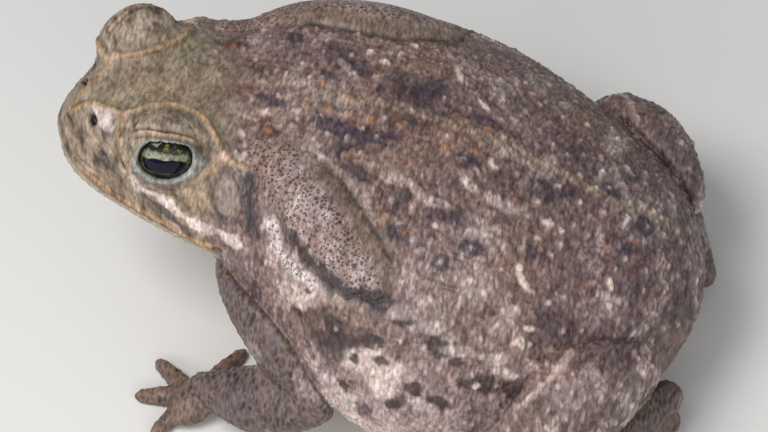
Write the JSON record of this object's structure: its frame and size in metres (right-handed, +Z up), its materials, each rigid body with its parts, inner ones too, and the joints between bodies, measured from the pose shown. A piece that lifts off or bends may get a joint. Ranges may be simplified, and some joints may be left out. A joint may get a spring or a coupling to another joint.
{
  "type": "cane toad",
  "caption": "Life-size cane toad, a still model sitting at rest with its head turned to its left.",
  "frame": {"origin": "centre of the footprint box, on the floor", "axes": "+X towards the vent, with the head at -X; -Y the toad's left side; +Z up"},
  "size_m": [0.1496, 0.1416, 0.0729],
  "materials": {
    "skin": "warty matte skin",
    "eye": "wet gloss"
  },
  "bodies": {
    "root": {"head": "skin", "trunk": "skin", "eye_left": "eye", "eye_right": "eye", "parotoid_left": "skin", "parotoid_right": "skin", "upper_arm_left": "skin", "upper_arm_right": "skin", "forearm_left": "skin", "forearm_right": "skin", "hand_left": "skin", "hand_right": "skin", "thigh_left": "skin", "thigh_right": "skin", "shank_left": "skin", "shank_right": "skin", "foot_left": "skin", "foot_right": "skin"}
  },
  "joints": []
}
